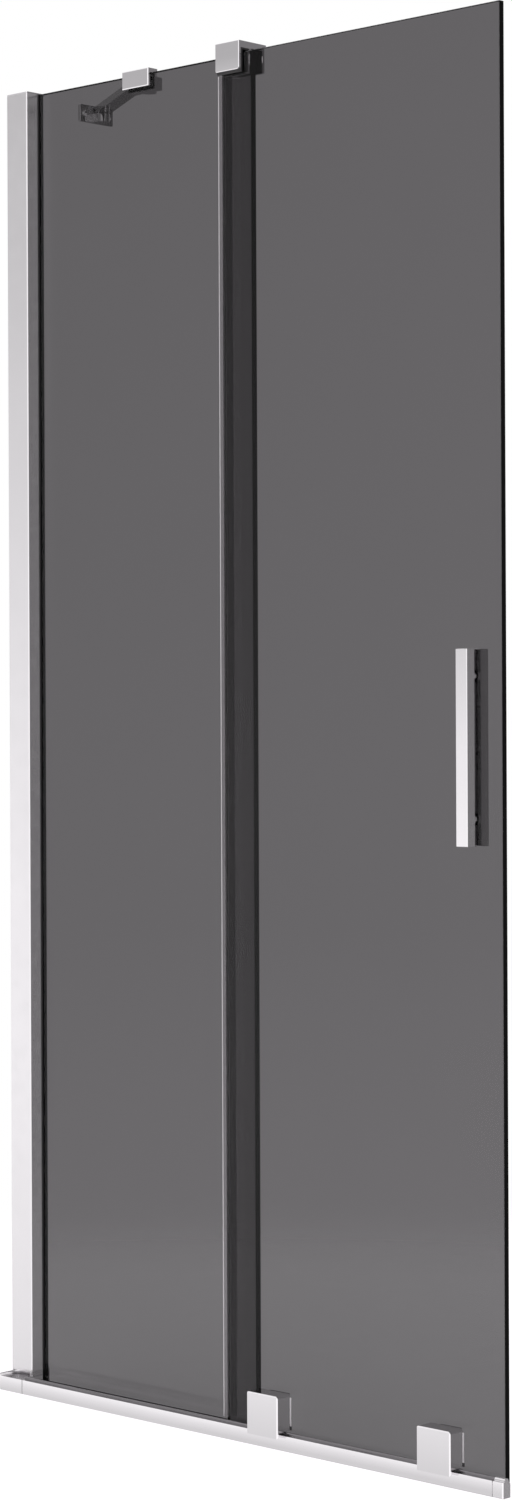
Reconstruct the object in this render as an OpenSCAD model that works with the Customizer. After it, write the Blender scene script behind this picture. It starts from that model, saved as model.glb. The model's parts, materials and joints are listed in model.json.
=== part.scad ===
// Sliding bath screen: a fixed glass panel in a wall profile, and a second panel
// that rolls along a low rail on two grooved wheels and parks in front of the first.
// X runs along the rail from the wall, Y from the room side to the bath side, Z up.
// The origin is on the wall, on the bath's rim, under the middle of the rail.

/* [Screen] */
// Length of the rail, from the wall to its free end
screen_w = 750; // [700:5:900]
// Height from the bath's rim to the top of the sliding pane
screen_h = 1500; // [1300:10:1700]

/* [Glass] */
// Thickness of both panes
glass_t = 8; // [6:0.5:8]
// Width of the sliding pane
panel_w = 387.5; // [380:0.5:420]
// How far the sliding pane's edge stays inside the rail's free end
panel_inset = 7.5; // [4:0.5:20]
// How far the two panes overlap when the screen is closed
overlap = 22; // [20:1:36]
// How much lower the sliding pane's top is than the fixed pane's
top_drop = 5; // [3:0.5:8]
// Height of the sliding pane's lower edge over the rim
panel_foot = 6; // [5:0.5:8]
// Width of the small ground bevel on every pane edge
arris = 0.7; // [0.4:0.1:1]
// Radius of the holes drilled in the sliding pane
glass_hole_r = 5; // [4.5:0.25:6]

/* [Wall profile] */
// Width of the profile's front face
profile_w = 33.5; // [30:0.5:40]
// Wall thickness of the profile
profile_wall = 1.6; // [1.2:0.1:2]
// Depth of the profile's side face, from its front to the glass slot
profile_front = 17.5; // [14:0.5:20]
// Distance from the sliding pane's front to the profile's front
profile_step = 7; // [6:0.5:9]
// Width of the bevel on the profile's front corner
profile_bevel = 0.9; // [0.5:0.1:1.2]
// Depth of the slot that holds the glass
slot_deep = 19; // [15:0.5:20]
// How far the profile's rear leg stops short of its front
rear_short = 12; // [8:0.5:13]
// Thickness of the front glazing gasket
gasket_front = 1.5; // [1:0.1:2]
// Thickness of the rear glazing gasket
gasket_rear = 2; // [1.5:0.1:2.5]
// Thickness of the profile's top cap
cap_t = 1.5; // [1:0.5:3]
// Sheet thickness of the channel that is screwed to the wall
channel_t = 1.5; // [1.2:0.1:2]
// Radius of the channel's wall screw holes
wall_hole_r = 2.75; // [2.25:0.25:3.25]
// Distance between the outer pair of wall screw holes
wall_hole_outer = 1200; // [1000:20:1220]
// Distance between the inner pair of wall screw holes
wall_hole_inner = 400; // [300:20:600]

/* [Rail] */
// Depth of the rail, front to back
rail_d = 12; // [11:0.5:13]
// Height of the rail's flat top over the rim
rail_h = 16.5; // [16:0.5:19]
// Width of the bevel along the rail's lower front edge
rail_cut = 1; // [0.5:0.1:1.5]
// Wall thickness of the rail
rail_wall = 1.6; // [1.2:0.1:2]
// Height of the running rib over the rail's flat top
rib_h = 3; // [2.6:0.1:3.4]
// Width of the running rib
rib_w = 3.2; // [2.8:0.1:3.4]
// Gap between the rail's back and the sliding pane
rail_gap = 1; // [0.8:0.1:1.5]
// Width of the seams between the rail and its end pieces
end_seam = 0.8; // [0.4:0.1:0.9]
// Length of the left end piece, which also carries the wall profile
end_left_w = 38; // [36:1:46]
// Length of the right end piece
end_right_w = 13; // [10:1:18]
// Width of the bevel on the right end piece's front corner
end_bevel = 1.2; // [0.5:0.1:2]
// Height of the left end piece's plinth under the wall profile
plinth_h = 22.5; // [21:0.5:26]
// How far the hollow in the plinth reaches in under the wall profile
hollow_under = 8.5; // [6:0.5:10]
// Radius of the hollow's inner corner
hollow_r = 13; // [8:0.5:15]
// Width of the rubber stops on the rail's top
stop_w = 5; // [4:0.5:6]

/* [Roller blocks] */
// Width of a roller block
block_w = 45; // [42:1:52]
// Height of the roller block's top over the rim
block_top = 59; // [57:0.5:64]
// Height of the lower edge of the block's front skirt over the rim
skirt_foot = 13; // [10:0.5:14]
// Distance from the sliding pane's front to the block's front
block_d = 21.5; // [20.5:0.5:24]
// Wall thickness of the cover's front
cover_front = 2.5; // [2:0.25:3]
// Wall thickness of the cover's sides and top
cover_wall = 2; // [1.5:0.25:2.5]
// Corner radius of the cover's front
cover_r = 3; // [2:0.25:4]
// Width of the bevel round the cover's front
cover_bevel = 1.2; // [0.8:0.1:1.5]
// Distance from the sliding pane's left edge to the first block's middle
block_first = 72; // [60:1:100]
// Distance between the two blocks' middles
block_pitch = 239; // [200:1:260]
// Running radius at the bottom of the wheel's groove
wheel_r = 11; // [10:0.5:12]
// Height of the wheel's flanges over its groove
flange_h = 2; // [1.6:0.1:2.2]
// Width of the wheel
wheel_w = 7; // [6.4:0.2:7]
// Radius of the wheel's axle
axle_r = 3; // [2.5:0.25:3.5]
// Outer radius of the wheel's bearing
bearing_r = 7.5; // [7:0.25:8]
// Width of the wheel's bearing
bearing_w = 5; // [4:0.5:5.5]
// Width of the plate behind the pane
back_w = 27; // [25:1:32]
// Height of the plate behind the pane
back_h = 16; // [14:1:20]
// Thickness of the plate behind the pane
back_t = 2.5; // [2.2:0.1:4]
// Radius of the bolts and studs that pass through the sliding pane
bolt_r = 3; // [2.5:0.25:3.5]
// Distance between a block's two bolts
bolt_pitch = 16; // [14:1:18]

/* [Top guide] */
// Width of the guide
guide_w = 35.5; // [30:0.5:40]
// How far the guide reaches past the fixed pane's edge
guide_over = 9.5; // [6:0.5:12]
// Height of the guide
guide_h = 31; // [26:0.5:36]
// How high the guide stands over the fixed pane's top
guide_rise = 7; // [6.5:0.5:10]
// Thickness of the guide's front leg
guide_leg = 3.5; // [3:0.25:5]
// Thickness of the jaw behind the fixed pane
guide_jaw = 3; // [2.5:0.25:5]
// Width of the bevel on the guide's edges
guide_bevel = 0.6; // [0.4:0.1:1.5]
// Radius of the lower corners of the guide's front leg
guide_r = 2.6; // [1.6:0.1:3]

/* [Stabiliser] */
// Width of the clamp on the fixed pane
clamp_w = 42; // [36:1:50]
// Distance from the wall to the clamp's middle
clamp_x = 198; // [180:1:230]
// Height of the clamp's front plate
clamp_h = 20; // [18:1:26]
// Thickness of the clamp's front plate
clamp_plate = 3.7; // [3:0.1:5]
// Depth of the clamp's rear jaw
clamp_jaw = 12; // [10:0.5:14]
// Width of the bevel on the clamp's front edges
clamp_bevel = 0.9; // [0.5:0.1:1.2]
// Distance from the wall to the pivot on the wall bracket
bracket_pivot_x = 14; // [13:0.5:20]
// Distance from the fixed pane's back to the wall bracket's pivot
bracket_pivot_y = 116; // [90:1:130]
// Width of the arm
arm_w = 18; // [14:0.5:18]
// Thickness of the arm
arm_t = 8; // [6:0.5:8]
// Radius of the two pivot screws
pivot_r = 3; // [2.5:0.25:3.5]
// Width of the wall bracket's plate
bracket_w = 54; // [50:1:64]
// Height of the wall bracket's plate
bracket_h = 20; // [20:1:26]
// Thickness of the wall bracket's plate
bracket_t = 4; // [3:0.25:4]
// Distance between the wall bracket's two screw holes
bracket_holes = 40; // [38:1:44]
// Radius of the wall bracket's screw holes
bracket_hole_r = 2.25; // [2:0.25:2.75]

/* [Handle] */
// Length of each handle bar
handle_h = 200; // [160:5:300]
// Width of each handle bar
handle_w = 15; // [12:0.5:18]
// Depth of each handle bar
handle_d = 12.5; // [10:0.5:13]
// Width of the bevel on the handle bars' edges
handle_bevel = 0.6; // [0.3:0.1:1.5]
// Gap between a handle bar and the pane
handle_gap = 2; // [1.5:0.25:3]
// Height of the handle's middle over the rim
handle_z = 750; // [600:5:900]
// Distance from the sliding pane's free edge to the handle's middle
handle_inset = 41; // [30:1:60]
// Distance between the handle's two fixings
handle_pitch = 145; // [100:1:150]
// Radius of the handle's stand-off collars
standoff_r = 6.5; // [5.75:0.25:6.75]

/* [Seals] */
// Wall thickness of the clear seals
seal_t = 0.6; // [0.5:0.05:0.6]
// Width of the rear leg of the seal on the sliding pane's left edge
seal_w = 11; // [8:0.5:14]
// Width of the same seal's front leg
seal_leg = 4; // [3:0.5:6]
// How far its hollow bulb stands out beyond the pane's edge
seal_out = 5.5; // [4:0.5:6]
// Height of the seal under the sliding pane
seal_h = 8; // [6:0.5:10]

/* [Foot of the fixed pane] */
// Wall thickness of the channel under the fixed pane
foot_wall = 1.2; // [1:0.1:1.6]
// Height of the channel under the fixed pane
foot_h = 8; // [7:0.5:10]

/* [Hidden] */
$fn = 48;

chrome = [0.82, 0.82, 0.84];
satin = [0.72, 0.72, 0.74];
steel = [0.62, 0.63, 0.65];
black = [0.06, 0.06, 0.065];
smoke = [0.20, 0.20, 0.205, 0.55];
clear = [0.80, 0.81, 0.82, 0.6];
nylon = [0.86, 0.86, 0.84];

fit = 0.15;        // clearance of parts that slip together
run = 0.05;        // clearance of parts that turn
apart = 0.3;       // gap between parts that move past each other
pad_t = 0.8;       // thickness of the pads between metal and glass
end_gap = 2;       // gap between the fixed pane's edge and the slot's floor
park_gap = 11.5;   // gap between the parked sliding pane and the wall profile
plug_w = 12;       // how far the end pieces plug into the rail
past = 1;          // how far a cutting shape runs past the surface it opens
slip = 0.02;       // clearance round a screw, a bolt or a stud
sunk = 0.1;        // how far a screw's head lies below the face round it
skin = 0.01;       // a cutting shape's reach past a face it only just opens

// Planes along Y
pane_front = rail_d / 2 + rail_gap;
pane_back = pane_front + glass_t;
profile_y0 = pane_front + profile_step;
slot_y0 = profile_y0 + profile_front;
fixed_front = slot_y0 + gasket_front;
fixed_back = fixed_front + glass_t;
slot_y1 = fixed_back + gasket_rear;
profile_y1 = slot_y1 + profile_wall;

// Places along X
panel_x1 = screen_w - panel_inset;
panel_x0 = panel_x1 - panel_w;
fixed_x1 = panel_x0 + overlap;
slot_x0 = profile_w - slot_deep;
rear_x1 = profile_w - rear_short;
fixed_x0 = slot_x0 + end_gap;
travel = panel_x0 - profile_w - park_gap;
rail_x0 = end_left_w + end_seam;
rail_x1 = screen_w - end_right_w - end_seam;
block_x = [panel_x0 + block_first, panel_x0 + block_first + block_pitch];

// Heights
profile_z0 = plinth_h;
panel_z1 = screen_h;
fixed_z0 = 3;
fixed_z1 = panel_z1 + top_drop;
profile_z1 = fixed_z1;
rib_top = rail_h + rib_h;
axle_z = rib_top + wheel_r + run;
channel_end = 4;

// A box between two corners
module box(a, b) {
    translate(a) cube(b - a);
}

// A flat outline with four rounded corners, from its lower left corner
module round_rect(w, h, r) {
    translate([r, 0]) square([w - 2 * r, h]);
    translate([0, r]) square([w, h - 2 * r]);
    for (x = [r, w - r], y = [r, h - r]) translate([x, y]) circle(r);
}

// The outline of a rectangle with its four corners cut off
function cut_corners(w, h, c) = [
    [c, 0], [w - c, 0], [w, c], [w, h - c], [w - c, h], [c, h], [0, h - c], [0, c]
];

// Lays an outline drawn in Y and Z along X
module along_x(length) {
    rotate([90, 0, 90]) linear_extrude(length) children();
}

// Lays an outline drawn in X and Z along Y, from y0 to y1
module along_y(y0, y1) {
    translate([0, y1, 0]) rotate([90, 0, 0]) linear_extrude(y1 - y0) children();
}

// A round bar along Y
module rod_y(x, z, y0, y1, r) {
    translate([x, y1, z]) rotate([90, 0, 0]) cylinder(r = r, h = y1 - y0);
}

// A slab whose long edges have a bevel, from its lowest corner
module bevelled(size, c) {
    intersection() {
        linear_extrude(size[2]) polygon(cut_corners(size[0], size[1], c));
        along_x(size[0]) polygon(cut_corners(size[1], size[2], c));
    }
}

/* The fixed side */

wall_hole_y = (profile_y0 + profile_y1) / 2;
wall_hole_z = (profile_z0 + profile_z1) / 2;
channel_y0 = profile_y0 + profile_wall + fit;
channel_y1 = slot_y1 - fit;
channel_reach = slot_x0 - profile_wall - 1;
fix_x = channel_reach / 2;
fix_inset = 100;
fix_z = [for (s = [-1, 0, 1]) wall_hole_z + s * (wall_hole_outer / 2 - fix_inset)];
fix_r = 2;
fix_head_r = 3.8;
fix_length = 6;
fix_socket_r = 1.3;

module wall_channel() {
    z0 = profile_z0 + channel_end;
    z1 = profile_z1 - channel_end;
    front_reach = profile_w - profile_wall - 8;
    tap_deep = 5;
    color(satin) difference() {
        translate([0, 0, z0]) linear_extrude(z1 - z0) union() {
            translate([0, channel_y0]) square([channel_t, channel_y1 - channel_y0]);
            translate([0, channel_y0]) square([front_reach, channel_t]);
            translate([0, channel_y1 - channel_t]) square([channel_reach, channel_t]);
            // small ribs that keep the profile from rattling on the channel
            translate([front_reach - 2, channel_y0]) square([2, channel_t + 0.8]);
        }
        for (s = [wall_hole_outer, wall_hole_inner], k = [-1, 1])
            translate([-1, wall_hole_y, wall_hole_z + k * s / 2])
                rotate([0, 90, 0]) cylinder(r = wall_hole_r, h = channel_t + 2);
        for (z = fix_z) rod_y(fix_x, z, channel_y1 - tap_deep, channel_y1 + past, fix_r);
    }
}

// The profile's outline seen from above, with a bevel on its front corner
profile_outline = [
    [0, profile_y0], [profile_w - profile_bevel, profile_y0],
    [profile_w, profile_y0 + profile_bevel], [profile_w, profile_y1], [0, profile_y1]
];

// The profile's section: a hollow front box, then the slot that grips the glass
module profile_section() {
    difference() {
        polygon(profile_outline);
        // room for the wall channel, open to the wall
        translate([-1, profile_y0 + profile_wall])
            square([slot_x0 - profile_wall + 1, slot_y1 - profile_y0 - profile_wall]);
        translate([-1, profile_y0 + profile_wall])
            square([profile_w - profile_wall + 1, profile_front - 2 * profile_wall]);
        // slot for the glass and its gaskets
        translate([slot_x0, slot_y0]) square([slot_deep + 1, slot_y1 - slot_y0]);
        // the leg behind the glass is short, so it can't be seen through the pane
        translate([rear_x1, slot_y1 - past]) square([rear_short + past, profile_wall + 2 * past]);
    }
    // screw port for the cap
    translate([profile_w - profile_wall - 2.2, profile_y0 + profile_wall + 2.2]) difference() {
        circle(2.6);
        circle(1.4);
        rotate(-45) translate([-4, -0.7]) square([4, 1.4]);
    }
}

module wall_profile() {
    color(chrome) difference() {
        translate([0, 0, profile_z0]) linear_extrude(profile_z1 - profile_z0) profile_section();
        for (z = fix_z) {
            rod_y(fix_x, z, slot_y1 - past, profile_y1 + past, fix_r + fit);
            translate([fix_x, profile_y1 + skin, z]) rotate([90, 0, 0])
                cylinder(r1 = fix_head_r + fit, r2 = fix_r + fit, h = profile_wall);
        }
    }
}

cap_seam = 0.4;
cap_inset = 0.8;
cap_bevel = 0.5;
tongue_h = 8;
tongue_t = 2;

module profile_cap() {
    depth = profile_y1 - profile_y0;
    leg = profile_wall + fit;
    color(chrome) {
        difference() {
            union() {
                intersection() {
                    translate([0, 0, profile_z1 + cap_seam])
                        linear_extrude(cap_t - cap_seam) polygon(profile_outline);
                    translate([0, profile_y0, profile_z1]) along_x(profile_w)
                        polygon([[0, 0], [depth, 0], [depth, cap_t - cap_bevel],
                            [depth - cap_bevel, cap_t], [cap_bevel, cap_t], [0, cap_t - cap_bevel]]);
                }
                // the plate's foot is set back, which leaves a dark seam under its edge
                box([0, profile_y0 + cap_inset, profile_z1],
                    [profile_w - cap_inset, profile_y1 - cap_inset, profile_z1 + cap_t / 2]);
            }
            // nothing over the glass beside the short rear leg
            box([rear_x1, slot_y1, profile_z1 - past],
                [profile_w + past, profile_y1 + past, profile_z1 + cap_t + past]);
        }
        // two tongues that push into the hollow of the profile
        for (x = [channel_reach + tongue_t, profile_w - leg - tongue_t])
            box([x, profile_y0 + leg + 6, profile_z1 - tongue_h],
                [x + tongue_t, slot_y0 - leg, profile_z1 + cap_seam]);
    }
}

module profile_screws() {
    color(steel) for (z = fix_z) difference() {
        union() {
            rod_y(fix_x, z, channel_y1 - fix_length, profile_y1 - sunk, fix_r - slip);
            translate([fix_x, profile_y1 - sunk, z]) rotate([90, 0, 0])
                cylinder(r1 = fix_head_r, r2 = fix_r - slip, h = profile_wall - sunk);
        }
        translate([fix_x, profile_y1 + sunk, z]) rotate([90, 0, 0])
            cylinder(r = fix_socket_r, h = 1, $fn = 6);
    }
}

module profile_screw_covers() {
    color(chrome) for (z = fix_z) translate([fix_x, profile_y1 + slip, z]) rotate([-90, 0, 0])
        rotate_extrude() polygon([[0, 0], [5.2, 0], [5.2, 0.5], [4.6, 1.1], [0, 1.4]]);
}

// A glazing gasket's section: a flat strip with a rounded lip where its leg ends, at x1
module gasket_section(t, side, x0, x1) {
    lip_reach = 0.9;
    translate([x0, 0]) square([x1 - x0, t]);
    translate([x1, side > 0 ? 0 : t / 2]) square([lip_reach, t / 2]);
    translate([x1 + lip_reach, t / 2]) circle(t / 2);
}

module gasket_front_strip() {
    color(black) translate([0, slot_y0, profile_z0]) linear_extrude(profile_z1 - profile_z0)
        gasket_section(gasket_front, -1, slot_x0 + 6, profile_w);
}

module gasket_rear_strip() {
    color(black) translate([0, fixed_back, profile_z0]) linear_extrude(profile_z1 - profile_z0)
        gasket_section(gasket_rear, 1, slot_x0 + 1, rear_x1);
}

module fixed_glass() {
    color(smoke) translate([fixed_x0, fixed_front, fixed_z0])
        bevelled([fixed_x1 - fixed_x0, glass_t, fixed_z1 - fixed_z0], arris);
}

foot_x0 = profile_w + 2;

// A slim channel under the fixed pane, with a drip lip on the bath side
module foot_channel() {
    play = 0.5;
    w = glass_t + 2 * (foot_wall + play);
    color(chrome) translate([foot_x0, fixed_front - foot_wall - play, 0])
        along_x(fixed_x1 - foot_x0) difference() {
            union() {
                square([w, foot_h]);
                polygon([[w, 0], [w + 2.5, 0], [w + 2.5, 0.8], [w, 3]]);
            }
            translate([foot_wall, foot_wall]) square([w - 2 * foot_wall, foot_h]);
            translate([w / 2 - 2, -1]) square([4, 1.6]);
        }
}

module setting_blocks() {
    span = fixed_x1 - foot_x0;
    half = 20;
    inset = 0.15 * span;
    color(black) for (x = [foot_x0 + inset, fixed_x1 - inset])
        box([x - half, fixed_front, foot_wall], [x + half, fixed_back, fixed_z0]);
}

/* The rail */

rib_r = rib_w / 2;
rib_deep = 0.9;
back_cut = 2.5;
rail_floor = 2.5;

// The outline that the rail and its end pieces share: a flat front with a bevel at its
// foot, and a cut edge at the back of the top
module base_outline() {
    h = rail_d / 2;
    polygon([[rail_cut - h, 0], [h, 0], [h, rail_h - back_cut], [h - back_cut, rail_h],
        [-h, rail_h], [-h, rail_cut]]);
}

// The rib that the wheels run on: a steel strip with a round top, pressed into the rail
module running_rib() {
    color(steel) translate([rail_x0, 0, 0]) along_x(rail_x1 - rail_x0) {
        translate([-rib_r, rail_h - rib_deep]) square([rib_w, rib_h + rib_deep - rib_r]);
        translate([0, rib_top - rib_r]) circle(rib_r);
    }
}

// The hollow inside the rail, which the end pieces plug into
module rail_hollow(gap) {
    h = rail_d / 2 - rail_wall - gap;
    z0 = rail_floor + gap;
    z1 = rail_h - rail_wall - gap;
    polygon([[-h, z0], [h, z0], [h, z1 - back_cut], [h - back_cut, z1], [-h, z1]]);
}

module bottom_rail() {
    color(chrome) translate([rail_x0, 0, 0]) along_x(rail_x1 - rail_x0) difference() {
        base_outline();
        // groove for the running rib
        translate([-rib_r, rail_h - rib_deep]) square([rib_w, rib_deep + past]);
        rail_hollow(0);
        // two grooves for the sealant
        for (y = [-1, 1]) translate([y * rail_d / 4 - 1.2, -1]) square([2.4, 2]);
    }
}

// The right end piece has a hump that covers the end of the rib
module hump_outline() {
    hump_r = rib_r + 1.8;
    hump_rise = 0.6;
    base_outline();
    intersection() {
        translate([0, rib_top + hump_rise - hump_r]) circle(hump_r);
        translate([-rail_d / 2, rail_h - 2]) square([rail_d, rib_h + 4]);
    }
}

// The plinth on the left end piece has a hollow under the wall profile, closed by a ledge.
// Its floor is level with the rail's top and turns up in a cove.
lip_t = 0.6;
ledge_t = 1.2;
core_wall = 3;
ledge_z1 = plinth_h - run;
cove_r = 0.6 * (ledge_z1 - ledge_t - rail_h);
column_w = 3.5;
hollow_x1 = profile_w - column_w;
hollow_y1 = profile_y0 + hollow_under;
turn_x = lip_t + hollow_r;
turn_y = hollow_y1 - hollow_r;

// The hollow's section, from its middle to its wall
module cove_section() {
    h = plinth_h - rail_h + past;
    square([hollow_r - cove_r, h]);
    translate([0, cove_r]) square([hollow_r, h - cove_r]);
    translate([hollow_r - cove_r, cove_r]) circle(cove_r);
}

module plinth_hollow() {
    y0 = -rail_d / 2 - past;
    // along the room's wall, round the corner, and on under the profile
    translate([turn_x, 0, rail_h]) along_y(y0, turn_y) mirror([1, 0]) cove_section();
    translate([turn_x, turn_y, rail_h]) rotate_extrude() cove_section();
    translate([turn_x, turn_y, rail_h]) along_x(hollow_x1 - turn_x) cove_section();
    box([turn_x - past, y0, rail_h], [profile_w + past, profile_y0, plinth_h + past]);
    box([turn_x - past, y0, rail_h], [hollow_x1, turn_y + past, plinth_h + past]);
}

// Carries on the rail to the wall, and rises to a plinth under the wall profile
module rail_end_left() {
    color(chrome) difference() {
        union() {
            along_x(end_left_w) base_outline();
            box([0, -rail_d / 2, 0], [profile_w, profile_y0 + profile_bevel, rail_h]);
            linear_extrude(rail_h) polygon(profile_outline);
            difference() {
                union() {
                    linear_extrude(ledge_z1) polygon(profile_outline);
                    box([0, -rail_d / 2, 0], [turn_x, profile_y0 + past, rail_h + cove_r]);
                }
                plinth_hollow();
            }
            intersection() {
                linear_extrude(ledge_z1) polygon(profile_outline);
                box([0, 0, ledge_z1 - ledge_t], [profile_w, hollow_y1 + past, ledge_z1]);
            }
            translate([end_left_w - past, 0, 0]) along_x(plug_w + past) rail_hollow(fit);
        }
        // the bevel at the foot of the rail's front
        translate([-past, -rail_d / 2, 0]) along_x(end_left_w + past)
            polygon([[-past, -past], [rail_cut + past, -past], [-past, rail_cut + past]]);
        // slot for the fixed pane
        box([fixed_x0 - end_gap, fixed_front - gasket_front, -past],
            [profile_w + past, fixed_back + gasket_rear, plinth_h + past]);
        // cored from below, as a casting is
        box([core_wall, rail_d / 2 + core_wall, -past],
            [profile_w - core_wall, fixed_front - gasket_front - core_wall, rail_h - core_wall]);
    }
}

module rail_end_right() {
    x0 = screen_w - end_right_w;
    h = rail_d / 2;
    color(chrome) {
        intersection() {
            translate([x0, 0, 0]) along_x(end_right_w) hump_outline();
            // the front corner at the free end is bevelled
            linear_extrude(rib_top + past)
                polygon([[x0, -h], [screen_w - end_bevel, -h], [screen_w, end_bevel - h],
                    [screen_w, h], [x0, h]]);
        }
        translate([screen_w - end_right_w - plug_w, 0, 0]) along_x(plug_w + past) rail_hollow(fit);
    }
}

// The stops lie behind the rib, out of sight; a finger of each carriage can meet one
finger_w = 3;
finger_x = block_w / 2 - cover_wall - 3 - finger_w;
stop_y0 = rib_r + 0.4;
stop_y1 = rail_d / 2 - 1.5;
stop_z0 = rail_h - back_cut;
stop_h = 4.7;

// A rubber stop with rounded top edges, which sits on the rail's top and its cut edge
module rail_stop(x) {
    color(black) translate([x, 0, 0]) along_x(stop_w) difference() {
        translate([stop_y0, stop_z0]) round_rect(stop_y1 - stop_y0, stop_h, 0.5);
        base_outline();
    }
}

module rail_stop_left() {
    rail_stop(block_x[0] - travel - finger_x - finger_w - apart - stop_w);
}

module rail_stop_right() {
    rail_stop(block_x[1] + finger_x + finger_w + apart);
}

/* The top guide */

guide_x1 = fixed_x1 + guide_over;
guide_x0 = guide_x1 - guide_w;
guide_z1 = fixed_z1 + guide_rise;
guide_z0 = guide_z1 - guide_h;
liner_t = 2;
liner_gap = 0.5;
liner_drop = 2.5;
notch_y0 = pane_front - liner_gap - liner_t;
notch_y1 = pane_back + liner_gap + liner_t;
notch_z1 = panel_z1 + 4.5;
guide_y0 = notch_y0 - guide_leg;
grip_y0 = fixed_front - pad_t;
grip_y1 = fixed_back + pad_t;
guide_y1 = grip_y1 + guide_jaw;
guide_screw_r = 2.5;
guide_screw_z = guide_z0 + 9;
guide_screw_x = [guide_x0 + 7, fixed_x1 - 7];

// Hooks over the sliding pane's top and grips the fixed pane's top corner
module top_guide() {
    color(chrome) difference() {
        intersection() {
            translate([guide_x0, guide_y0, guide_z0])
                bevelled([guide_w, guide_y1 - guide_y0, guide_h], guide_bevel);
            translate([guide_x0, 0, guide_z0]) along_y(guide_y0, guide_y1) union() {
                round_rect(guide_w, guide_h, guide_r);
                translate([0, guide_r]) square([guide_w, guide_h - guide_r]);
            }
        }
        box([guide_x0 - 1, notch_y0, guide_z0 - 1], [guide_x1 + 1, notch_y1, notch_z1]);
        box([guide_x0 - 1, grip_y0, guide_z0 - 1], [fixed_x1 + fit, grip_y1, fixed_z1 + fit]);
        // cored from below between the two slots, and open past the fixed pane's edge
        box([guide_x0 + 3, notch_y1 + 3, guide_z0 - 1], [fixed_x1 - 4, grip_y0 - 3, guide_z1 - 6]);
        box([fixed_x1 - 1, notch_y1 - 1, guide_z0 - 1], [guide_x1 + 1, grip_y1, fixed_z1 + fit]);
        for (x = guide_screw_x) rod_y(x, guide_screw_z, grip_y1 - 1, guide_y1 + 1, guide_screw_r);
    }
}

// The lining stands out a little below the guide and at its sides
module guide_liner() {
    out = 0.4;
    z0 = guide_z0 - liner_drop;
    color(black) translate([guide_x0 - out, 0, 0]) along_x(guide_w + 2 * out) difference() {
        translate([notch_y0, z0]) square([notch_y1 - notch_y0, notch_z1 - z0]);
        translate([notch_y0 + liner_t, z0 - past])
            square([notch_y1 - notch_y0 - 2 * liner_t, notch_z1 - liner_t - z0 + past]);
        // cut corners at the foot, which lead the pane in
        for (y = [notch_y0, notch_y1]) translate([y, z0]) rotate(45) square(1.2, center = true);
    }
}

module guide_pads() {
    inset = 1.5;
    color(black) for (y = [grip_y0, fixed_back])
        box([guide_x0 + inset, y, guide_z0 + inset], [fixed_x1 - inset, y + pad_t, fixed_z1 - inset]);
}

// A headless screw with a hexagon socket, its tip towards -Y
module grub_screw(x, z, y0, y1, r) {
    socket_r = 0.55 * r;
    difference() {
        rod_y(x, z, y0, y1, r - slip);
        translate([x, y1 + sunk, z]) rotate([90, 0, 0])
            cylinder(r = socket_r, h = min(2, (y1 - y0) / 2), $fn = 6);
    }
}

module guide_screws() {
    color(steel) for (x = guide_screw_x)
        grub_screw(x, guide_screw_z, grip_y1, guide_y1 - 0.3, guide_screw_r);
}

/* The stabiliser */

clamp_x0 = clamp_x - clamp_w / 2;
clamp_x1 = clamp_x + clamp_w / 2;
bridge_h = 5;
clamp_z1 = fixed_z1 + bridge_h;
clamp_z0 = clamp_z1 - clamp_h;
jaw_z0 = clamp_z0 - 3;
jaw_y1 = grip_y1 + clamp_jaw;
clamp_y0 = grip_y0 - clamp_plate;
arm_z1 = clamp_z1 - 0.5;
arm_z0 = arm_z1 - arm_t;
boss_r = arm_w / 2;
shelf_t = 2.6;
shelf_y = grip_y1 + shelf_t;
pivot = [clamp_x, shelf_y + apart + arm_w / 2];
far_pivot = [bracket_pivot_x, fixed_back + bracket_pivot_y];
arm_len = norm(far_pivot - pivot);
arm_angle = atan2(far_pivot[1] - pivot[1], far_pivot[0] - pivot[0]);
clamp_screw_r = 2.5;
clamp_screw_z = (jaw_z0 + arm_z0) / 2;
clamp_screw_x = [clamp_x - 15, clamp_x + 15];

module stabiliser_clamp() {
    color(chrome) difference() {
        union() {
            // plate in front of the glass and bridge over it
            translate([clamp_x0, clamp_y0, clamp_z0])
                bevelled([clamp_w, shelf_y - clamp_y0, clamp_h], clamp_bevel);
            // jaw behind the glass, with a round boss for the arm
            box([clamp_x0, grip_y1, jaw_z0], [clamp_x1, jaw_y1, arm_z0 - apart]);
            translate([pivot[0], pivot[1], jaw_z0]) cylinder(r = boss_r, h = arm_z0 - apart - jaw_z0);
        }
        box([clamp_x0 - 1, grip_y0, jaw_z0 - 1], [clamp_x1 + 1, grip_y1, fixed_z1 + fit]);
        translate([pivot[0], pivot[1], jaw_z0 + 3]) cylinder(r = pivot_r, h = clamp_h);
        for (x = clamp_screw_x) rod_y(x, clamp_screw_z, grip_y1 - 1, jaw_y1 + 1, clamp_screw_r);
    }
}

module clamp_pads() {
    color(black) {
        box([clamp_x0 + 1, grip_y0, clamp_z0 + 1], [clamp_x1 - 1, fixed_front, fixed_z1 - 1]);
        box([clamp_x0 + 1, fixed_back, jaw_z0 + 1], [clamp_x1 - 1, grip_y1, fixed_z1 - 1]);
    }
}

module clamp_screws() {
    color(steel) for (x = clamp_screw_x)
        grub_screw(x, clamp_screw_z, grip_y1, jaw_y1 - 0.5, clamp_screw_r);
}

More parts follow.
